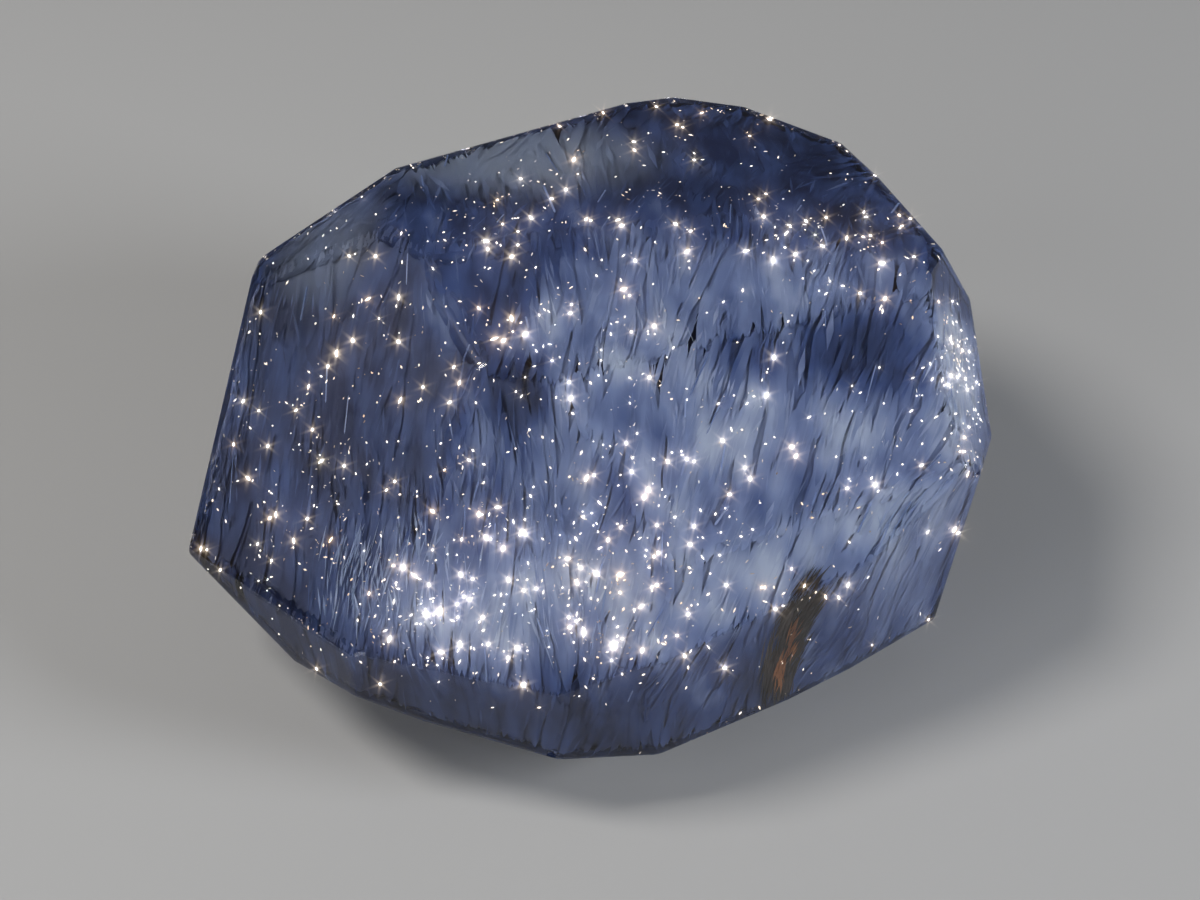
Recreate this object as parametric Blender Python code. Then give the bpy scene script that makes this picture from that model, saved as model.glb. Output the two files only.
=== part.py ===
# Dumortierite quartz: one small piece of quartz, grown through with fine blue needles
# and ground all over to flat faces, lying on its base.
# Lengths here are millimetres, and the finished mesh is in metres.

import math
import random

import bmesh
import bpy
from mathutils import Matrix, Vector

MM = 0.001

STONE_WIDTH = 9.0
STONE_DEPTH = 8.2
STONE_HEIGHT = 4.4
EDGE_WEAR = 0.045
EDGE_ROUNDS = 2
CORNER_MERGE = 0.06
SMOOTH_ANGLE = 24.0
NODE_NAME = "dumortierite_quartz"

# Each ground face: the way it faces round the stone, its lean from level, and its
# reach from the heart of the stone. Azimuth 0 is the front (-Y) and 90 the right (+X);
# a lean of 0 faces straight up, 90 sideways and 180 down.
CROWN_FACES = {
    "roof": (12, 12, 2.02),
    "back_slope": (-176, 3, 2.23),
    "back_corner_slope": (130, 12, 2.53),
    "right_slope": (17, 33, 2.17),
    "right_lower_slope": (19, 47, 2.65),
    "front_slope": (-8, 41, 2.30),
    "left_slope": (-50, 41, 2.50),
    "left_upper_slope": (-38, 24, 2.36),
    "left_shoulder": (-96, 29, 3.05),
    "right_bevel": (76, 56, 4.01),
}
SIDE_FACES = {
    "side_left_front": (-44, 86, 4.19),
    "side_front_left": (-12, 86, 3.87),
    "side_front": (10, 86, 3.76),
    "side_front_right": (26, 86, 3.62),
    "side_right_front": (38, 87, 3.84),
    "side_right_lower": (72, 97, 4.36),
    "side_right": (92, 83, 4.40),
    "side_right_back": (112, 66, 4.33),
    "side_back_right": (117, 74, 4.36),
    "side_back_corner": (150, 76, 4.46),
    "side_back": (178, 76, 4.12),
    "side_back_left": (-152, 76, 3.23),
    "side_left_back": (-128, 62, 3.99),
    "side_left": (-99, 84, 4.12),
}
UNDER_FACES = {
    "under_front_left": (-25, 142, 3.34),
    "under_front": (2, 142, 3.48),
    "under_front_right": (30, 138, 3.50),
    "under_right_front": (36, 136, 3.57),
    "under_left_front": (-31, 138, 3.50),
    "under_left_tip": (-55, 128, 4.00),
    "under_right": (84, 128, 3.98),
    "under_left": (-100, 128, 3.89),
    "under_back": (180, 130, 3.14),
    "under_back_left": (-130, 128, 3.38),
    "under_back_right": (130, 128, 3.37),
}
HEART_HEIGHT = STONE_HEIGHT / 2
BASE_REACH = HEART_HEIGHT

# Small bites out of the lower right edge, where the side meets the ground,
# and the deeper notch at the right-hand corner of the right slope.
NICK_EDGE_START = (1.15, -3.52, 0.76)
NICK_EDGE_END = (3.80, -1.88, 0.72)
NICK_COUNT = 11
NICK_RADIUS = (0.06, 0.13)
NOTCH_POINTS = {
    "right_corner": ((4.16, -1.62, 2.86), 0.17),
    "left_tip": ((-4.50, -1.45, 1.72), 0.10),
    "lower_right_corner": ((4.00, -1.62, 0.80), 0.14),
    "front_corner": ((-0.42, -3.92, 0.95), 0.10),
    "back_left_corner": ((-2.35, 2.00, 4.32), 0.10),
}
SEED = 7

# Look of the stone
QUARTZ_BLUE = (0.24, 0.31, 0.56, 1.0)
QUARTZ_ROUGHNESS = 0.12
QUARTZ_IOR = 1.544


def faceNormal(azimuth, lean):
    turn = math.radians(azimuth)
    tip = math.radians(lean)
    return Vector((math.sin(tip) * math.sin(turn), -math.sin(tip) * math.cos(turn), math.cos(tip)))


def grindFace(mesh, azimuth, lean, reach):
    normal = faceNormal(azimuth, lean)
    heart = Vector((0.0, 0.0, HEART_HEIGHT))
    everything = mesh.verts[:] + mesh.edges[:] + mesh.faces[:]
    cut = bmesh.ops.bisect_plane(
        mesh, geom=everything, dist=1e-5, plane_co=heart + normal * reach, plane_no=normal, clear_outer=True
    )
    rim = [item for item in cut["geom_cut"] if isinstance(item, bmesh.types.BMEdge)]
    if rim:
        bmesh.ops.edgeloop_fill(mesh, edges=rim)


def groundStone():
    mesh = bmesh.new()
    roughBlock = Matrix.Diagonal((STONE_WIDTH * 2, STONE_DEPTH * 2, STONE_HEIGHT * 2, 1.0))
    bmesh.ops.create_cube(mesh, size=1.0, matrix=Matrix.Translation((0, 0, HEART_HEIGHT)) @ roughBlock)
    for faces in (CROWN_FACES, SIDE_FACES, UNDER_FACES):
        for azimuth, lean, reach in faces.values():
            grindFace(mesh, azimuth, lean, reach)
    grindFace(mesh, 0, 180, BASE_REACH)
    bmesh.ops.remove_doubles(mesh, verts=mesh.verts, dist=CORNER_MERGE)
    bmesh.ops.recalc_face_normals(mesh, faces=mesh.faces)
    return mesh


def wearEdges(mesh):
    bmesh.ops.bevel(
        mesh,
        geom=mesh.edges[:],
        offset=EDGE_WEAR,
        offset_type="OFFSET",
        segments=EDGE_ROUNDS,
        profile=0.5,
        affect="EDGES",
        clamp_overlap=True,
    )


def addNick(cutter, place, radius, spin):
    # A flattened, few-sided lump bites out a small shell-shaped chip.
    lump = bmesh.ops.create_icosphere(cutter, subdivisions=1, radius=radius)
    turn = Matrix.Rotation(spin, 4, "Z") @ Matrix.Rotation(spin * 1.7, 4, "X")
    squash = Matrix.Diagonal((1.0, 0.8, 0.65, 1.0))
    bmesh.ops.transform(cutter, verts=lump["verts"], matrix=Matrix.Translation(place) @ turn @ squash)


def nickCutter():
    dice = random.Random(SEED)
    cutter = bmesh.new()
    start = Vector(NICK_EDGE_START)
    end = Vector(NICK_EDGE_END)
    for step in range(NICK_COUNT):
        along = (step + dice.uniform(0.25, 0.75)) / NICK_COUNT
        radius = dice.uniform(*NICK_RADIUS)
        addNick(cutter, start.lerp(end, along), radius, dice.uniform(0.0, math.tau))
    for place, radius in NOTCH_POINTS.values():
        addNick(cutter, Vector(place), radius, dice.uniform(0.0, math.tau))
    return cutter


def meshObject(name, mesh, offset):
    # Centre the plan on the origin and turn millimetres into metres.
    bmesh.ops.translate(mesh, verts=mesh.verts, vec=offset)
    bmesh.ops.scale(mesh, verts=mesh.verts, vec=Vector((MM, MM, MM)))
    data = bpy.data.meshes.new(name)
    mesh.to_mesh(data)
    mesh.free()
    shape = bpy.data.objects.new(name, data)
    bpy.context.scene.collection.objects.link(shape)
    return shape


def planCentreOffset(mesh):
    across = [vert.co.x for vert in mesh.verts]
    deep = [vert.co.y for vert in mesh.verts]
    return Vector((-(min(across) + max(across)) / 2, -(min(deep) + max(deep)) / 2, 0.0))


def quartzMaterial():
    material = bpy.data.materials.new("quartz")
    material.use_nodes = True
    shader = material.node_tree.nodes["Principled BSDF"]
    shader.inputs["Base Color"].default_value = QUARTZ_BLUE
    shader.inputs["Roughness"].default_value = QUARTZ_ROUGHNESS
    shader.inputs["Metallic"].default_value = 0.0
    shader.inputs["IOR"].default_value = QUARTZ_IOR
    return material


def buildStone():
    mesh = groundStone()
    wearEdges(mesh)
    offset = planCentreOffset(mesh)
    stone = meshObject(NODE_NAME, mesh, offset)
    cutter = meshObject("nick_cutter", nickCutter(), offset)
    cutter.hide_render = True
    cutter.display_type = "WIRE"
    bites = stone.modifiers.new("nicks", "BOOLEAN")
    bites.operation = "DIFFERENCE"
    bites.solver = "EXACT"
    bites.object = cutter
    stone.data.materials.append(quartzMaterial())
    stone.data.shade_smooth()
    stone.data.set_sharp_from_angle(angle=math.radians(SMOOTH_ANGLE))
    return stone


for oldObject in list(bpy.data.objects):
    bpy.data.objects.remove(oldObject, do_unlink=True)
buildStone()
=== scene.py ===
import math

import bmesh
import bpy
import numpy as np
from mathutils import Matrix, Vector


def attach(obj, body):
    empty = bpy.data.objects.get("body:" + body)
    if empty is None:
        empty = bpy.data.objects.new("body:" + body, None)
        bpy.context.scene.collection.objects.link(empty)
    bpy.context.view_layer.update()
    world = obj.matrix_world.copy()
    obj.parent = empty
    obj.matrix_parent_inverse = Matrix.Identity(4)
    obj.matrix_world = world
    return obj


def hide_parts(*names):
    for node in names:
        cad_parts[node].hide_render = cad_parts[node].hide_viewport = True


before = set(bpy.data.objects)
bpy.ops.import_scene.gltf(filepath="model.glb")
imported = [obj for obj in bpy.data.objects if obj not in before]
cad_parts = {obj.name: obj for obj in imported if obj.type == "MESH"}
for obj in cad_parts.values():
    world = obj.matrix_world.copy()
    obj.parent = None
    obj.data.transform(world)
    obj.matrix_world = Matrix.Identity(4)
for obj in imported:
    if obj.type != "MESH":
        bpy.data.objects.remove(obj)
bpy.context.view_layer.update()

mm = 0.001
stoneNode = "dumortierite_quartz"
stoneBody = "root"
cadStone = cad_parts[stoneNode]


def setSocket(node, **values):
    for name, value in values.items():
        node.inputs[name.replace("_", " ")].default_value = value


def addNode(tree, kind, **values):
    node = tree.nodes.new(kind)
    setSocket(node, **values)
    return node


def addMath(tree, operation):
    node = tree.nodes.new("ShaderNodeMath")
    node.operation = operation
    return node


def addColourMix(tree):
    node = tree.nodes.new("ShaderNodeMix")
    node.data_type = "RGBA"
    return node


def newMaterial(name):
    material = bpy.data.materials.new(name)
    material.use_nodes = True
    return material, material.node_tree.nodes["Principled BSDF"]


def addObject(name, data):
    made = bpy.data.objects.new(name, data)
    bpy.context.scene.collection.objects.link(made)
    return made


def keepPiece(piece):
    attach(piece, stoneBody)


# the stone's ground faces, read from the frame in mm: the needles must end inside them

smallFace = 0.04    # mm2, the least face that a needle has to stay under
mainFace = 0.4      # mm2, the least face that has a look of its own
leastArea = 1e-12
leastLean = 1e-6
farAway = 1e9


def vertexPlaces(stone):
    return np.array([vertex.co for vertex in stone.data.vertices]) / mm


def groundFaces(stone, smallest):
    # triangles whose normals agree to two decimals are one face; its plane touches the outermost vertex
    groups = {}
    for face in stone.data.polygons:
        key = tuple(round(part, 2) for part in face.normal)
        area, way = groups.get(key, (0.0, np.zeros(3)))
        size = face.area / mm**2
        groups[key] = (area + size, way + size * np.array(face.normal))
    normals = np.array([way for area, way in groups.values() if area > smallest])
    normals /= np.linalg.norm(normals, axis=1)[:, None]
    return normals, (vertexPlaces(stone) @ normals.T).max(axis=0)


def skinTriangles(stone):
    # the corners, normals and shares of the whole surface of every triangle
    stone.data.calc_loop_triangles()
    corners = vertexPlaces(stone)[np.array([triangle.vertices for triangle in stone.data.loop_triangles])]
    out = np.cross(corners[:, 1] - corners[:, 0], corners[:, 2] - corners[:, 0])
    area = np.linalg.norm(out, axis=1)
    return corners, out / np.maximum(area, leastArea)[:, None], area / area.sum()


faceNormals, faceReach = groundFaces(cadStone, smallFace)
mainNormals, mainReach = groundFaces(cadStone, mainFace)
skinCorners, skinNormals, skinShare = skinTriangles(cadStone)
print("ground faces", len(mainReach), "of", len(faceReach))


def depthUnder(points):
    return (faceReach[None, :] - points @ faceNormals.T).min(axis=1)


def roomAlong(points, ways, margin):
    # how far each point may go its way before it is nearer than its margin to a face
    lean = ways @ faceNormals.T
    gap = faceReach[None, :] - np.reshape(margin, (-1, 1)) - points @ faceNormals.T
    room = np.where(lean > leastLean, gap / np.maximum(lean, leastLean), farAway)
    return np.maximum(room.min(axis=1), 0.0)


# soft random fields that cloud the growth

fields = {  # mm across, seed
    "crownEdge": (0.6, 7),
    "broadClouds": (1.1, 4),
    "smallClouds": (0.45, 10),
    "brightTufts": (0.5, 6),
    "stainStreaks": (0.12, 8),
    "layWander": (1.1, 5),
    "glintClumps": (0.5, 9),
}
fieldWaves = 7              # waves that add up to one field
fieldSpread = (0.7, 1.6)    # their lengths, as a share of the field's own
fieldContrast = 2.2         # a smaller number parts light and dark more sharply


def smoothField(points, name):
    # from 0 to 1
    wave, seed = fields[name]
    dice = np.random.default_rng(seed)
    total = np.zeros(len(points))
    for k in range(fieldWaves):
        way = dice.normal(0, 1, 3)
        way /= np.linalg.norm(way)
        length = wave * dice.uniform(*fieldSpread)
        total += np.cos(points @ way * math.tau / length + dice.uniform(0, math.tau))
    return 0.5 + 0.5 * np.tanh(total / fieldContrast)


def atLeast(least, share):
    return least + (1.0 - least) * share


# how pale the growth looks on each ground face, and the soft balls in mm that change it

rightSlope = (17, 33)    # azimuth from the front, lean from the top

growth = {
    "fanPoint": (-1.5, -0.7, -7.0),      # the glowing tips of the painted glints point away from here
    "fanTurn": ((-4.5, -1.5, 1.5, 4.5), (-0.14, 0.0, 0.2, 0.5)),    # x, lean to the right
    "layBack": (0.12, 0.78),             # lean to the back on every face, and more on the crown
    "layUp": 0.9,
    "layWander": 0.6,                    # how far the lean wanders from patch to patch
    "strayTurn": 0.7,                    # how far a stray needle leaves the common way
    "faces": [  # azimuth and lean, paleness from navy 0 to white 1, lean of its needles to the right
        ((-176, 3), 0.14, 0.0),
        ((130, 12), 0.12, 0.0),
        ((12, 12), 0.68, 0.0),
        (rightSlope, 0.76, 0.1),
        ((19, 47), 0.98, 0.55),
        ((-8, 41), 0.49, 0.0),
        ((-50, 41), 0.10, 0.0),
        ((-38, 24), 0.09, 0.0),
        ((-96, 29), 0.10, 0.6),
        ((76, 56), 0.60, 0.4),
        # the low paleness of the next steep front faces is partly painted shade
        ((-44, 86), 0.03, 0.0),
        ((-12, 86), 0.05, 0.0),
        ((10, 86), 0.14, 0.0),
        ((26, 86), 0.33, 0.0),
        ((38, 87), 0.55, 0.25),
        ((92, 83), 0.40, 0.3),
        ((-99, 84), 0.26, 0.0),
        ((178, 76), 0.30, 0.0),
        ((0, 180), 0.26, 0.0),
    ],
    "edgeBlend": 0.12,        # mm over which one face's look runs into the next
    "crownUpright": 0.5,      # a face belongs to the crown where its normal points up more than this
    "crownEdge": (  # back of this line the crown is dark: x, y
        (-4.5, -2.95, -2.1, -0.95, -0.80, -0.35, 0.07, 0.65, 1.4, 2.85, 3.5, 4.3),
        (-3.0, -2.55, -2.0, -1.35, -0.45, 0.2, 0.54, 0.85, 0.75, 0.42, 0.18, -0.4),
    ),
    "crownEdgeSoft": 0.10,
    "crownEdgeWaver": 0.4,
    "crownDark": 0.33,        # paleness back of the line
    "crownDarkFrom": 0.3,     # growth that is darker than this stays darker there too
    "clouds": 0.20,           # how strongly the paleness is mottled
    "shadeBlend": 0.02,       # the shade ends sharply at the edge of its face
    "shade": [  # on the right slope alone: centre, radii, strength
        ((3.40, -0.80, 3.6), (0.90, 0.62, 0.9), 0.58),
        ((2.50, -0.88, 3.9), (0.80, 0.42, 0.6), 0.56),
        ((1.70, -0.98, 4.0), (0.6, 0.28, 0.5), 0.5),
        ((3.3, -1.95, 2.95), (1.0, 0.36, 0.5), 0.30),
        ((2.0, -2.35, 3.0), (1.0, 0.36, 0.5), 0.26),
    ],
    # darker growth: the first ball is a pocket without needles, the two low ones darken the front bottom as
    # painted shade
    "dark": [
        ((-0.80, -1.6, 3.9), (0.36, 0.34, 0.5), 0.75),
        ((-2.3, -3.9, 1.1), (1.9, 0.8, 0.75), 0.5),
        ((0.4, -4.1, 1.1), (1.6, 0.8, 0.75), 0.5),
    ],
    # paler growth: partly denser pale needles, partly a painted pool of light on the lower front and a
    # painted highlight along the right bevel
    "bright": [
        ((-0.8, -3.3, 2.35), (1.35, 0.8, 0.5), 0.26),
        ((-1.8, -2.9, 2.5), (0.9, 0.8, 0.6), 0.27),
        ((-2.45, -2.6, 2.2), (0.65, 0.8, 0.6), 0.27),
        ((3.3, -2.2, 2.6), (0.7, 0.6, 0.7), 0.24),
        ((3.95, -0.65, 3.35), (0.35, 0.8, 0.5), 0.60),
    ],
    "veilAndReflection": [  # where the growth is greyish and milky: partly a milky veil, partly a painted reflection
        ((-0.9, 2.15, 4.2), (1.5, 0.75, 0.6), 0.75),
        ((-3.05, 0.95, 3.95), (0.7, 0.8, 0.7), 0.45),
    ],
    "stainRoom": [  # where the close mass of needles makes room for the stain
        ((2.22, -3.04, 2.2), (0.13, 0.24, 0.26), 1.0),
        ((2.12, -3.12, 1.8), (0.18, 0.24, 0.45), 1.0),
        ((1.98, -3.22, 1.3), (0.18, 0.24, 0.40), 1.0),
    ],
    "stain": [
        ((2.24, -3.04, 2.1), (0.14, 0.24, 0.28), 0.8),
        ((2.12, -3.12, 1.8), (0.17, 0.24, 0.42), 1.0),
        ((1.97, -3.22, 1.3), (0.17, 0.24, 0.40), 1.0),
    ],
    "stainCore": [
        ((2.12, -3.15, 1.75), (0.05, 0.3, 0.25), 0.8),
        ((2.0, -3.24, 1.35), (0.06, 0.3, 0.25), 1.0),
    ],
    "stainLength": (1.0, 1.0, 0.2),      # its streaks run upright, five times as long as they are wide
}


def lookWay(azimuth, lean):
    azimuth, lean = math.radians(azimuth), math.radians(lean)
    return (math.sin(azimuth) * math.sin(lean), -math.cos(azimuth) * math.sin(lean), math.cos(lean))


lookFaces = [way for way, pale, turn in growth["faces"]]
lookWays = np.array([lookWay(*way) for way in lookFaces])
faceLook = (mainNormals @ lookWays.T).argmax(axis=1)
paleLook = np.array([pale for way, pale, turn in growth["faces"]])[faceLook]
turnLook = np.array([turn for way, pale, turn in growth["faces"]])[faceLook]
crownLook = (mainNormals[:, 2] > growth["crownUpright"]).astype(float)
slopeLook = faceLook == lookFaces.index(rightSlope)


def blendLook(points, looks, blend=growth["edgeBlend"]):
    # the nearest face's look, run softly into its neighbour's at the edge
    gap = mainReach[None, :] - points @ mainNormals.T
    weight = np.exp(-(gap - gap.min(axis=1)[:, None]) / blend)
    return (weight @ looks) / weight.sum(axis=1)


def nearestNormal(points):
    return mainNormals[(mainReach[None, :] - points @ mainNormals.T).argmin(axis=1)]


def softBall(points, centre, radii):
    return np.exp(-((((points - centre) / radii) ** 2).sum(axis=1) ** 2))


def ballShare(points, name):
    share = np.zeros(len(points))
    for centre, radii, value in growth[name]:
        share = np.maximum(share, softBall(points, centre, radii) * value)
    return share


def behindEdge(points):
    # 1 on the crown back of the dark line, 0 in front of it
    waver = growth["crownEdgeWaver"] * (smoothField(points, "crownEdge") - 0.5)
    edge = np.interp(points[:, 0], *growth["crownEdge"]) + waver
    return blendLook(points, crownLook) / (1.0 + np.exp(-(points[:, 1] - edge) / growth["crownEdgeSoft"]))


def paleness(points, clouds=growth["clouds"]):
    pale = blendLook(points, paleLook)
    back = behindEdge(points)
    pale = pale * (1.0 - back) + growth["crownDark"] * back * np.minimum(pale / growth["crownDarkFrom"], 1.0)
    onSlope = blendLook(points, slopeLook, growth["shadeBlend"])
    for centre, radii, value in growth["shade"]:
        pale *= 1.0 - value * softBall(points, centre, radii) * onSlope
    pale *= 1.0 - ballShare(points, "dark")
    pale += ballShare(points, "bright") + clouds * (smoothField(points, "broadClouds") - 0.5)
    pale += clouds * (smoothField(points, "smallClouds") - 0.5)
    return np.clip(pale, 0.0, 1.0)


# the milky veil, partly a painted reflection
def veilAndReflectionShare(points):
    return ballShare(points, "veilAndReflection")


# which share of the tried places gets a needle of each kind

shares = {
    "stainClears": 0.97,      # of the close mass, in the stain's room
    "silkOnDark": 0.25,       # silk on the darkest growth, where the palest has 1
    "tuftGain": 5.0,          # how quickly the tufts begin as the growth gets bright
    "tuftStart": 0.8,
    "betweenTufts": 0.3,
    "betweenStreaks": 0.1,
}


def evenShare(points):
    return np.ones(len(points))


def massShare(points):
    return 1.0 - shares["stainClears"] * ballShare(points, "stainRoom")


def silkShare(points):
    return atLeast(shares["silkOnDark"], paleness(points) ** 2) * massShare(points) ** 2


# pale needles where the growth is paler, partly painted light
def brightShare(points):
    inside = np.clip(shares["tuftGain"] * ballShare(points, "bright") - shares["tuftStart"], 0.0, 1.0)
    return inside * atLeast(shares["betweenTufts"], smoothField(points, "brightTufts"))


def stainShare(points):
    streaks = smoothField(points * growth["stainLength"], "stainStreaks")
    return ballShare(points, "stain") * atLeast(shares["betweenStreaks"], streaks ** 2)


def stainCoreShare(points):
    return ballShare(points, "stainCore")


roundsAtMost = 400
depthSlack = 0.9    # a place may be a little nearer to the next face than its least depth


def scatterPoints(dice, count, depth, share):
    # places spread evenly over the skin, sunk to their depth and kept by the share
    kept = np.zeros((0, 3))
    tried = 0
    while len(kept) < count and tried < count * roundsAtMost:
        pick = dice.choice(len(skinShare), count, p=skinShare)
        first, second = dice.uniform(0, 1, (2, count, 1))
        over = first + second > 1
        first, second = np.where(over, 1 - first, first), np.where(over, 1 - second, second)
        corner = skinCorners[pick]
        tries = corner[:, 0] + first * (corner[:, 1] - corner[:, 0]) + second * (corner[:, 2] - corner[:, 0])
        tries = tries - skinNormals[pick] * dice.uniform(*depth, (count, 1))
        tries = tries[dice.uniform(0, 1, count) < share(tries)]
        kept = np.vstack((kept, tries[depthUnder(tries) > depth[0] * depthSlack]))
        tried += count
    return kept[:count]


def needleWays(dice, tips, spread, strays, lay=0.0, lift=0.0):
    # lay 0 follows the fan, lay 1 lies along the nearest ground face
    ways = tips - np.array(growth["fanPoint"])
    ways /= np.linalg.norm(ways, axis=1)[:, None]
    ways += dice.normal(0, math.radians(spread), ways.shape)
    if lay:
        out = nearestNormal(tips)
        turn = np.interp(tips[:, 0], *growth["fanTurn"]) + blendLook(tips, turnLook)
        wander = growth["layWander"] * (smoothField(tips, "layWander") - 0.5)
        turn += dice.normal(0, math.radians(spread), len(tips)) + wander
        back = growth["layBack"][0] + growth["layBack"][1] * blendLook(tips, crownLook)
        rising = np.stack((turn, back, np.full(len(tips), growth["layUp"])), axis=1)
        flat = rising - (rising * out).sum(axis=1)[:, None] * out
        flat /= np.linalg.norm(flat, axis=1)[:, None]
        rise = dice.uniform(0.0, 1.0, len(tips))[:, None] * lift
        ways = ways * (1 - lay) + (flat * np.cos(rise) + out * np.sin(rise)) * lay
    stray = dice.uniform(0, 1, len(tips)) < strays
    ways[stray] += dice.normal(0, growth["strayTurn"], (int(stray.sum()), 3))
    return ways / np.linalg.norm(ways, axis=1)[:, None]


# the meshes of the needles, each kind joined into one

def meshPiece(name, corners, triangles):
    data = bpy.data.meshes.new(name)
    data.vertices.add(len(corners))
    data.vertices.foreach_set("co", (corners.reshape(-1) * mm).astype(np.float32))
    data.loops.add(triangles.size)
    data.loops.foreach_set("vertex_index", triangles.reshape(-1).astype(np.int32))
    data.polygons.add(len(triangles))
    data.polygons.foreach_set("loop_start", np.arange(0, triangles.size, 3, dtype=np.int32))
    data.update(calc_edges=True)
    data.shade_flat()
    for label, field in (("pale", paleness), ("veilAndReflection", veilAndReflectionShare)):
        mark = data.attributes.new(label, "FLOAT", "POINT")
        mark.data.foreach_set("value", field(corners).astype(np.float32))
    return addObject(name, data)


def repeatFaces(faces, count, cornersEach):
    starts = (np.arange(count) * cornersEach)[:, None, None]
    return (np.array(faces)[None] + starts).reshape(-1, 3)


goldenAngle = 2.399     # turns each prism against the one before
nearUpright = 0.9       # a steeper prism takes its side from the x axis
tipWidths = 1.5         # a prism's point is at most this many widths long


def prismMesh(name, tips, tails, widths, sides=3, shoulder=0.06):
    # slim prisms, each drawn in to a point at both ends
    count = len(tips)
    run = tips - tails
    length = np.linalg.norm(run, axis=1)[:, None]
    way = run / length
    side = np.cross(way, np.where(np.abs(way[:, 2:3]) < nearUpright, [[0, 0, 1.0]], [[1.0, 0, 0]]))
    side /= np.linalg.norm(side, axis=1)[:, None]
    other = np.cross(way, side)
    turn = (np.arange(count) * goldenAngle)[:, None]
    drawn = np.minimum(shoulder * length, widths[:, None] * tipWidths)
    last = 1 + 2 * sides
    corners = np.zeros((count, last + 1, 3))
    corners[:, 0] = tails
    corners[:, last] = tips
    for k in range(sides):
        angle = turn + math.tau * k / sides
        out = (np.cos(angle) * side + np.sin(angle) * other) * widths[:, None] / 2
        corners[:, 1 + k] = tails + way * drawn + out
        corners[:, 1 + sides + k] = tips - way * drawn + out
    faces = []
    for k in range(sides):
        a, b = 1 + k, 1 + (k + 1) % sides
        faces += [(0, b, a), (a, b, b + sides), (a, b + sides, a + sides), (a + sides, b + sides, last)]
    return meshPiece(name, corners.reshape(-1, 3), repeatFaces(faces, count, last + 1))


bladeKeel = 0.06        # how far a blade's inner side stands out, as a share of its half width
bladeShapes = {  # place along the blade, share of its width
    "sliver": ((0.5, 1.0),),
    "lath": ((0.08, 0.5), (0.33, 1.0), (0.67, 1.0), (0.92, 0.5)),
}


def bladeMesh(name, tips, tails, widths, tilts, sections):
    # flat blades, their broad side towards the nearest ground face
    count = len(tips)
    way = tips - tails
    out = nearestNormal((tips + tails) / 2)
    side = np.cross(way, out)
    side /= np.linalg.norm(side, axis=1)[:, None]
    under = np.cross(way, side)
    under /= np.linalg.norm(under, axis=1)[:, None]
    turned = side * np.cos(tilts)[:, None] + under * np.sin(tilts)[:, None]
    under = under * np.cos(tilts)[:, None] - side * np.sin(tilts)[:, None]
    under *= -np.sign((under * out).sum(axis=1))[:, None]
    rings = [tails]
    for place, share in sections:
        middle = tails + way * place
        half = widths[:, None] / 2 * share
        rings += [middle + turned * half, middle - turned * half, middle + under * half * bladeKeel]
    corners = np.stack(rings + [tips], axis=1)
    last = corners.shape[1] - 1
    faces = [(0, 2, 1), (0, 3, 2), (0, 1, 3)]
    for k in range(1, last - 3, 3):
        for a, b in ((k, k + 1), (k + 1, k + 2), (k + 2, k)):
            faces += [(a, b, b + 3), (a, b + 3, a + 3)]
    faces += [(last, last - 3, last - 2), (last, last - 2, last - 1), (last, last - 1, last - 3)]
    return meshPiece(name, corners.reshape(-1, 3), repeatFaces(faces, count, last + 1))


# the tint that all fibres share: a fine grain along them and broader clouds

fibre = {
    "ior": 1.65,
    "roughness": 0.35,
    "grain": 5000.0,
    "cloud": 700.0,
    "grainDetail": 1.0,
    "cloudDetail": 2.0,
    "grainStretch": (1.0, 0.3, 0.3),
    "maskRange": (0.72, 1.28),
}


def newGroup(name, inputs, outputs):
    group = bpy.data.node_groups.new(name, "ShaderNodeTree")
    for label, kind, value in inputs:
        socket = group.interface.new_socket(name=label, in_out="INPUT", socket_type=kind)
        socket.default_value = value
    for label, kind in outputs:
        group.interface.new_socket(name=label, in_out="OUTPUT", socket_type=kind)
    return group, group.nodes.new("NodeGroupInput"), group.nodes.new("NodeGroupOutput")


def fibreTintGroup():
    group, into, out = newGroup(
        "fibreTint",
        [
            ("Pale", "NodeSocketColor", (0.6, 0.65, 0.8, 1)),
            ("Deep", "NodeSocketColor", (0.2, 0.28, 0.5, 1)),
            ("Grain", "NodeSocketFloat", fibre["grain"]),
            ("Cloud", "NodeSocketFloat", fibre["cloud"]),
        ],
        [("Color", "NodeSocketColor"), ("Mask", "NodeSocketFloat")],
    )
    place = group.nodes.new("ShaderNodeTexCoord")
    stretch = addNode(group, "ShaderNodeMapping", Scale=fibre["grainStretch"])
    grain = addNode(group, "ShaderNodeTexNoise", Detail=fibre["grainDetail"])
    cloud = addNode(group, "ShaderNodeTexNoise", Detail=fibre["cloudDetail"])
    both = addMath(group, "ADD")
    low, high = fibre["maskRange"]
    spread = addNode(group, "ShaderNodeMapRange", From_Min=low, From_Max=high)
    blend = addColourMix(group)
    link = group.links.new
    link(place.outputs["Object"], stretch.inputs["Vector"])
    link(stretch.outputs["Vector"], grain.inputs["Vector"])
    link(place.outputs["Object"], cloud.inputs["Vector"])
    link(into.outputs["Grain"], grain.inputs["Scale"])
    link(into.outputs["Cloud"], cloud.inputs["Scale"])
    link(grain.outputs["Fac"], both.inputs[0])
    link(cloud.outputs["Fac"], both.inputs[1])
    link(both.outputs[0], spread.inputs["Value"])
    link(spread.outputs["Result"], blend.inputs["Factor"])
    link(into.outputs["Pale"], blend.inputs["A"])
    link(into.outputs["Deep"], blend.inputs["B"])
    link(blend.outputs["Result"], out.inputs["Color"])
    link(spread.outputs["Result"], out.inputs["Mask"])
    return group


fibreTint = fibreTintGroup()


def fibreBase(name, roughness, **tintValues):
    # a material with the shared tint in it, still to be linked
    material, shader = newMaterial(name)
    setSocket(shader, Roughness=roughness, IOR=fibre["ior"])
    tint = material.node_tree.nodes.new("ShaderNodeGroup")
    tint.node_tree = fibreTint
    setSocket(tint, **tintValues)
    return material, shader, tint


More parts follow.
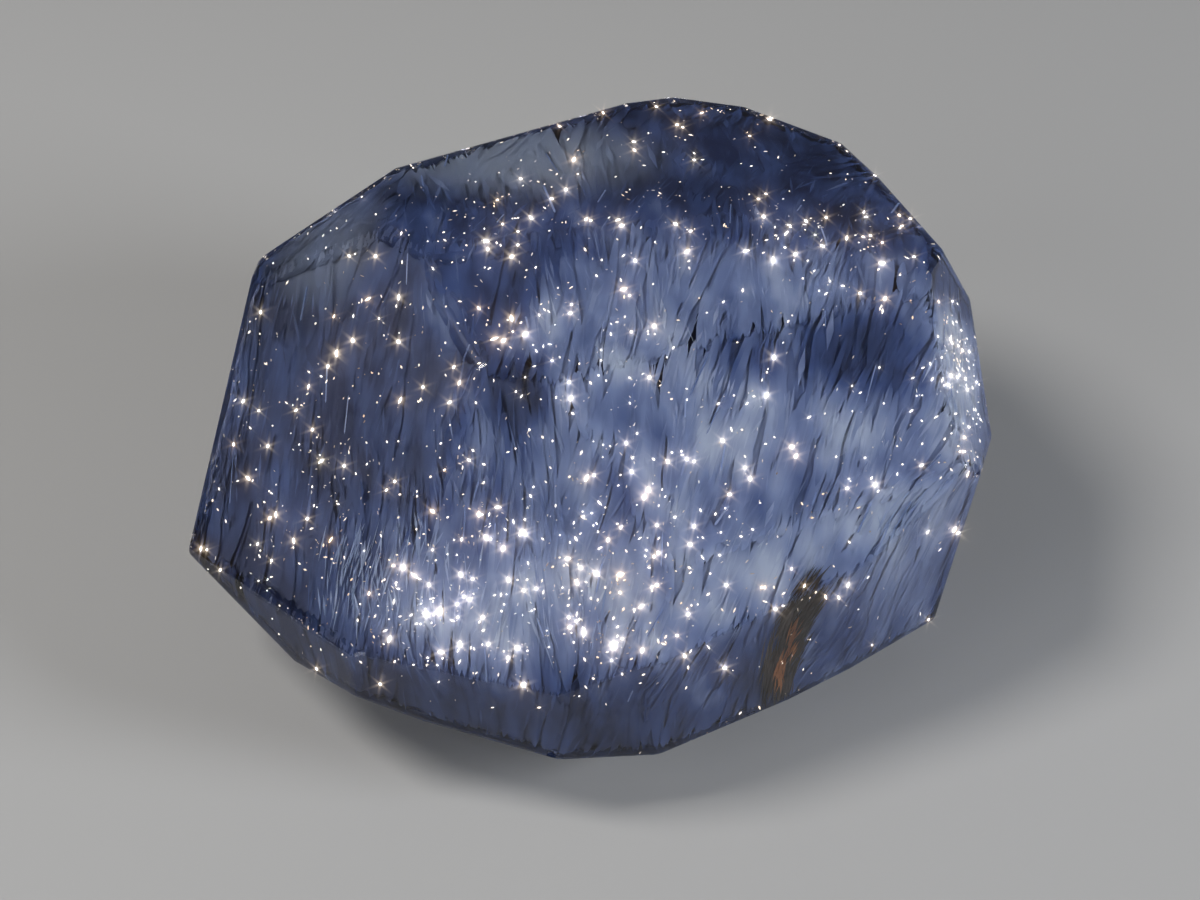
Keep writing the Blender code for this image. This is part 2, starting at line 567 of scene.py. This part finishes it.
def fibreMaterial(name, pale, deep, roughness=fibre["roughness"], glow=0.0):
    material, shader, tint = fibreBase(name, roughness, Pale=(*pale, 1), Deep=(*deep, 1))
    link = material.node_tree.links.new
    link(tint.outputs["Color"], shader.inputs["Base Color"])
    # glow makes the tint shine on its own: the painted glints, which no lamp lights
    if glow:
        link(tint.outputs["Color"], shader.inputs["Emission Color"])
        setSocket(shader, Emission_Strength=glow)
        material.cycles.emission_sampling = "NONE"
    return material


growthTint = {
    "stops": [  # paleness, colour
        (0.0, (0.008, 0.026, 0.110)),
        (0.35, (0.064, 0.121, 0.325)),
        (0.68, (0.295, 0.378, 0.612)),
        (1.0, (0.680, 0.757, 0.885)),
    ],
    # grey tint of the veil and its painted reflection
    "veilAndReflection": (0.50, 0.56, 0.64),
    "cloudiness": 0.30,
    "grain": 4200.0,
    "cloud": 1300.0,
    "roughness": 0.45,
}


def growthMaterial(name, raised):
    # the colour follows how pale the growth is at the spot, clouded by the shared tint's mask
    material, shader, tint = fibreBase(
        name, growthTint["roughness"], Grain=growthTint["grain"], Cloud=growthTint["cloud"])
    tree = material.node_tree
    pale = tree.nodes.new("ShaderNodeAttribute")
    pale.attribute_name = "pale"
    clouded = addMath(tree, "MULTIPLY_ADD")
    clouded.inputs[1].default_value = growthTint["cloudiness"]
    lifted = addMath(tree, "ADD")
    lifted.inputs[1].default_value = raised - growthTint["cloudiness"] / 2
    ramp = tree.nodes.new("ShaderNodeValToRGB")
    stops = growthTint["stops"]
    for place, colour in stops[1:-1]:
        ramp.color_ramp.elements.new(place)
    for element, (place, colour) in zip(ramp.color_ramp.elements, stops):
        element.position = place
        element.color = (*colour, 1)
    veilAndReflection = tree.nodes.new("ShaderNodeAttribute")
    veilAndReflection.attribute_name = "veilAndReflection"
    blend = addColourMix(tree)
    setSocket(blend, B=(*growthTint["veilAndReflection"], 1))
    link = tree.links.new
    link(tint.outputs["Mask"], clouded.inputs[0])
    link(pale.outputs["Fac"], clouded.inputs[2])
    link(clouded.outputs[0], lifted.inputs[0])
    link(lifted.outputs[0], ramp.inputs["Fac"])
    link(ramp.outputs["Color"], blend.inputs["A"])
    link(veilAndReflection.outputs["Fac"], blend.inputs["Factor"])
    link(blend.outputs["Result"], shader.inputs["Base Color"])
    return material


# the quartz itself

quartz = {
    "clearTint": (0.93, 0.95, 1.0),
    "absorbTint": (0.36, 0.47, 0.80),
    "absorbDensity": 420.0,
    "roughness": (0.10, 0.18),
    "ior": 1.544,
    "hazeScale": 900.0,
    "hazeDetail": 4.0,
    "hazeRange": (0.4, 0.75),
}


def quartzMaterial():
    material, shader = newMaterial("clearQuartz")
    tree = material.node_tree
    setSocket(shader, Base_Color=(*quartz["clearTint"], 1), IOR=quartz["ior"], Transmission_Weight=1.0)
    place = tree.nodes.new("ShaderNodeTexCoord")
    haze = addNode(tree, "ShaderNodeTexNoise", Scale=quartz["hazeScale"], Detail=quartz["hazeDetail"])
    low, high = quartz["hazeRange"]
    smooth, dull = quartz["roughness"]
    rough = addNode(tree, "ShaderNodeMapRange", From_Min=low, From_Max=high, To_Min=smooth, To_Max=dull)
    tree.links.new(place.outputs["Object"], haze.inputs["Vector"])
    tree.links.new(haze.outputs["Fac"], rough.inputs["Value"])
    tree.links.new(rough.outputs["Result"], shader.inputs["Roughness"])
    depth = addNode(
        tree, "ShaderNodeVolumeAbsorption", Color=(*quartz["absorbTint"], 1), Density=quartz["absorbDensity"])
    tree.links.new(depth.outputs["Volume"], tree.nodes["Material Output"].inputs["Volume"])
    return material


def makeQuartz():
    data = cadStone.data.copy()
    data.name = "quartzBody"
    data.materials.clear()
    data.materials.append(quartzMaterial())
    piece = addObject("quartzBody", data)
    keepPiece(piece)
    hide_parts(stoneNode)


makeQuartz()
print("quartz body made")


# the needles, from the close mass near the faces to the navy ones deep inside

needles = {  # depth, length and width in mm, spread and tilt in degrees
    "massNeedles": dict(
        count=7200, depth=(0.070, 0.074), sink=0.20, length=(0.5, 1.6), width=(0.04, 0.14),
        spread=2, tilt=0.3, shape="lath", raised=0.0, share=massShare, seed=11),
    "underNeedles": dict(
        count=4200, depth=(0.105, 0.112), sink=0.20, length=(0.8, 1.9), width=(0.20, 0.45),
        spread=2, tilt=0.3, shape="lath", raised=-0.04, share=evenShare, seed=25),
    "silkNeedles": dict(
        count=2800, depth=(0.045, 0.068), length=(0.12, 0.5), width=(0.012, 0.040),
        spread=11, tilt=1, lift=0.03, raised=0.05, share=silkShare, seed=12),
    "plateNeedles": dict(
        count=130, depth=(0.06, 0.10), length=(0.25, 0.6), width=(0.04, 0.09),
        spread=10, tilt=6, lift=0.05, raised=0.14, share=silkShare, seed=15),
    "paleNeedles": dict(
        count=110, depth=(0.03, 0.07), length=(0.15, 0.6), width=(0.014, 0.030),
        spread=9, tilt=None, strays=0.04, lay=0.95,
        pale=(0.42, 0.52, 0.78), deep=(0.22, 0.32, 0.60), share=silkShare, seed=14),
    "brightNeedles": dict(
        count=700, depth=(0.05, 0.10), length=(0.12, 0.45), width=(0.010, 0.032),
        spread=14, tilt=3, strays=0.02, lay=0.99,
        pale=(0.54, 0.63, 0.82), deep=(0.30, 0.41, 0.66), share=brightShare, seed=16),
    "rustGrains": dict(
        count=1500, depth=(0.02, 0.07), length=(0.2, 0.7), width=(0.010, 0.032),
        spread=5, tilt=12, strays=0.02, lay=0.98,
        pale=(0.11, 0.080, 0.064), deep=(0.005, 0.003, 0.003), share=stainShare, seed=18),
    "rustCore": dict(
        count=300, depth=(0.012, 0.02), length=(0.10, 0.35), width=(0.010, 0.03),
        spread=9, tilt=20, strays=0.03, lay=0.98,
        pale=(0.72, 0.30, 0.10), deep=(0.22, 0.07, 0.025), share=stainCoreShare, seed=19),
    "deepNeedles": dict(
        count=2600, depth=(0.8, 3.0), length=(0.8, 2.0), width=(0.25, 0.60),
        spread=8, tilt=3, lay=0.95,
        pale=(0.040, 0.080, 0.25), deep=(0.018, 0.040, 0.15), share=evenShare, seed=20),
}

needleFit = {
    "darkFrom": 0.6,        # growth that is darker than this sinks
    "steepSink": 0.35,      # share of the sinking on the faces round the side
    "keepDeep": 0.75,       # share of its depth that a needle keeps under the next face
    "shortest": 0.06,       # mm
    "widest": 1.45,         # widths for each mm of depth
}


def sinkDark(middles, plan):
    # the growth reaches up to the faces where it is pale and stays deeper where it is dark
    low = np.clip(1.0 - paleness(middles, 0.0) / needleFit["darkFrom"], 0.0, 1.0) * (1.0 - veilAndReflectionShare(middles))
    low *= atLeast(needleFit["steepSink"], blendLook(middles, crownLook))
    middles = middles - nearestNormal(middles) * (plan["sink"] * low)[:, None]
    return middles[depthUnder(middles) > plan["depth"][0] * depthSlack]


def makeNeedles(name, plan):
    dice = np.random.default_rng(plan["seed"])
    middles = scatterPoints(dice, plan["count"], plan["depth"], plan["share"])
    if "sink" in plan:
        middles = sinkDark(middles, plan)
    strays, lay, lift = plan.get("strays", 0.0), plan.get("lay", 1.0), plan.get("lift", 0.0)
    ways = needleWays(dice, middles, plan["spread"], strays, lay, lift)
    half = dice.uniform(*plan["length"], len(middles)) / 2
    widths = dice.uniform(*plan["width"], len(middles))
    margin = needleFit["keepDeep"] * depthUnder(middles)
    tips = middles + ways * np.minimum(half, roomAlong(middles, ways, margin))[:, None]
    tails = middles - ways * np.minimum(half, roomAlong(middles, -ways, margin))[:, None]
    stay = np.linalg.norm(tips - tails, axis=1) > needleFit["shortest"]
    tips, tails, widths = tips[stay], tails[stay], widths[stay]
    if plan["tilt"] is None:
        piece = prismMesh(name, tips, tails, widths)
    else:
        widths = np.minimum(widths, needleFit["widest"] * depthUnder((tips + tails) / 2))
        tilts = dice.normal(0, math.radians(plan["tilt"]), len(tips))
        piece = bladeMesh(name, tips, tails, widths, tilts, bladeShapes[plan.get("shape", "sliver")])
    if "raised" in plan:
        material = growthMaterial(name, plan["raised"])
    else:
        material = fibreMaterial(name, plan["pale"], plan["deep"])
    piece.data.materials.append(material)
    keepPiece(piece)
    print(name, len(tips), "needles")


for needleName, needlePlan in needles.items():
    makeNeedles(needleName, needlePlan)


# painted glints: small tips that glow where needles meet the ground faces, standing in for the lamp's
# reflections off the needle ends

glints = {
    "sizes": {
        "fineGlints": dict(
            count=1300, depth=(0.010, 0.03), length=(0.02, 0.06), width=(0.008, 0.015), glow=0.65, seed=21),
        "middleGlints": dict(
            count=1000, depth=(0.012, 0.035), length=(0.03, 0.07), width=(0.014, 0.024), glow=3.0, seed=22),
        "largeGlints": dict(
            count=320, depth=(0.020, 0.04), length=(0.04, 0.10), width=(0.022, 0.040), glow=9.0, seed=23),
    },
    "colour": (1.0, 0.94, 0.84),
    "warm": (0.42, 0.30, 0.19),
    "roughness": 0.15,
    "spread": 30,
    "strays": 0.3,
    "keepOff": 0.004,       # mm from any face
    "widest": 1.6,          # widths for each mm of depth
    "sides": 4,
    "shoulder": 0.4,        # share of the length that is drawn in at each end
    "elsewhere": 0.22,      # share of the spots that carry a tip outside the places
    "steepShare": 0.25,     # how much of that is left on the faces round the side
    "clumpShare": 0.25,     # and between the clumps
    "places": [  # centre, radii, share of the spots that carry a tip
        ((-0.7, -3.2, 2.5), (2.0, 1.1, 0.9), 1.0),
        ((2.0, 0.75, 4.2), (1.9, 0.45, 0.8), 0.5),
        ((2.2, 2.4, 4.0), (2.2, 0.9, 1.2), 0.08),
        ((-3.0, -1.6, 2.6), (1.2, 1.2, 1.0), 0.40),
        ((3.95, -0.7, 3.3), (0.4, 0.9, 0.6), 1.0),
        ((1.85, -3.0, 2.4), (0.35, 0.5, 0.3), 1.0),
        ((-3.3, 0.9, 3.7), (0.9, 0.9, 0.8), 0.10),
        ((-0.8, 2.6, 4.2), (1.1, 0.8, 0.8), 0.15),
        ((1.4, -0.3, 4.2), (1.5, 0.4, 0.5), 0.12),
        ((0.0, -4.0, 1.3), (5.0, 1.0, 0.5), 0.08),
    ],
}


def glintShare(points):
    share = np.full(len(points), glints["elsewhere"])
    for centre, radii, value in glints["places"]:
        ball = softBall(points, centre, radii)
        share = share * (1.0 - ball) + value * ball
    upper = atLeast(glints["steepShare"], blendLook(points, crownLook))
    return share * upper * atLeast(glints["clumpShare"], smoothField(points, "glintClumps"))


def makeGlints(name, plan):
    dice = np.random.default_rng(plan["seed"])
    heads = scatterPoints(dice, plan["count"], plan["depth"], glintShare)
    ways = needleWays(dice, heads, glints["spread"], glints["strays"])
    length = dice.uniform(*plan["length"], len(heads))
    length = np.minimum(length, roomAlong(heads, -ways, glints["keepOff"]))
    tails = heads - ways * length[:, None]
    widths = dice.uniform(*plan["width"], len(heads))
    widths = np.minimum(widths, glints["widest"] * np.minimum(depthUnder(heads), depthUnder(tails)))
    piece = prismMesh(name, heads, tails, widths, sides=glints["sides"], shoulder=glints["shoulder"])
    # the tips glow in the glint colour: painted glints
    material = fibreMaterial(name, glints["colour"], glints["warm"], glints["roughness"], plan["glow"])
    piece.data.materials.append(material)
    keepPiece(piece)


for glintName, glintPlan in glints["sizes"].items():
    makeGlints(glintName, glintPlan)
print("needle tips made")


# the stage: pale floor, soft lights and the camera at the photograph's angle

stage = {
    "floorColour": (0.46, 0.454, 0.443),
    "floorRoughness": 0.8,
    "floorReach": 0.4,                    # m from the middle to each side
    "worldColour": (0.80, 0.86, 1.0),
    "worldStrength": 0.08,
    "lightTarget": (0, 0, 2.2),           # mm
    "lights": {  # place in mm, size in mm, radiance, colour
        "keySoftbox": ((-35, -3.4, 54.4), 22, 14.0, (1.0, 0.98, 0.95)),
        "frontSoftbox": ((-48, -41, 27), 48, 1.9, (0.95, 0.97, 1.0)),
        "rightSoftbox": ((60, -19, 27), 26, 15.0, (0.90, 0.94, 1.0)),
    },
    "cameraPlace": (0.07, -20.19, 19.81),    # mm
    "cameraElevation": 42.0,
    "cameraLens": 70.0,
    "cameraClip": (0.001, 5.0),           # m
    "glare": {
        "BLOOM": dict(Threshold=1.1, Size=0.10, Strength=2.0, Tint=(1.0, 0.80, 0.54, 1.0)),
        "STREAKS": dict(
            Threshold=1.1, Streaks=6, Strength=0.65, Fade=0.68, Iterations=2,
            Streaks_Angle=math.radians(20.0), Color_Modulation=0.1),
    },
}


def makeFloor():
    mesh = bmesh.new()
    bmesh.ops.create_grid(mesh, x_segments=1, y_segments=1, size=stage["floorReach"])
    data = bpy.data.meshes.new("paleFloor")
    mesh.to_mesh(data)
    mesh.free()
    material, shader = newMaterial("paleFloor")
    setSocket(shader, Base_Color=(*stage["floorColour"], 1), Roughness=stage["floorRoughness"])
    data.materials.append(material)
    floor = addObject("paleFloor", data)


def makeLights():
    world = bpy.data.worlds.new("softRoom")
    bpy.context.scene.world = world
    world.use_nodes = True
    room = world.node_tree.nodes["Background"]
    setSocket(room, Color=(*stage["worldColour"], 1), Strength=stage["worldStrength"])
    target = Vector(stage["lightTarget"]) * mm
    for name, (place, size, radiance, colour) in stage["lights"].items():
        lamp = bpy.data.lights.new(name, "AREA")
        lamp.shape = "DISK"
        lamp.size = size * mm
        lamp.energy = radiance * math.pi * (size * mm) ** 2
        lamp.color = colour
        holder = addObject(name, lamp)
        holder.location = Vector(place) * mm
        holder.rotation_euler = (target - holder.location).to_track_quat("-Z", "Y").to_euler()


def makeCamera():
    lens = bpy.data.cameras.new("viewer")
    lens.lens = stage["cameraLens"]
    lens.clip_start, lens.clip_end = stage["cameraClip"]
    camera = addObject("viewer", lens)
    camera.location = Vector(stage["cameraPlace"]) * mm
    camera.rotation_euler = (math.radians(90 - stage["cameraElevation"]), 0, 0)
    bpy.context.scene.camera = camera


def makeSparkle():
    # the glowing tips of the painted glints flare into small stars, as they do through a close-up lens
    scene = bpy.context.scene
    scene.view_settings.view_transform = "Standard"
    scene.use_nodes = True
    tree = scene.node_tree
    tree.nodes.clear()
    picture = tree.nodes.new("CompositorNodeRLayers").outputs["Image"]
    for kind, values in stage["glare"].items():
        glare = tree.nodes.new("CompositorNodeGlare")
        glare.glare_type = kind
        glare.quality = "HIGH"
        setSocket(glare, **values)
        tree.links.new(picture, glare.inputs["Image"])
        picture = glare.outputs["Image"]
    final = tree.nodes.new("CompositorNodeComposite")
    tree.links.new(picture, final.inputs["Image"])


makeFloor()
makeLights()
makeCamera()
makeSparkle()
print("stage set")
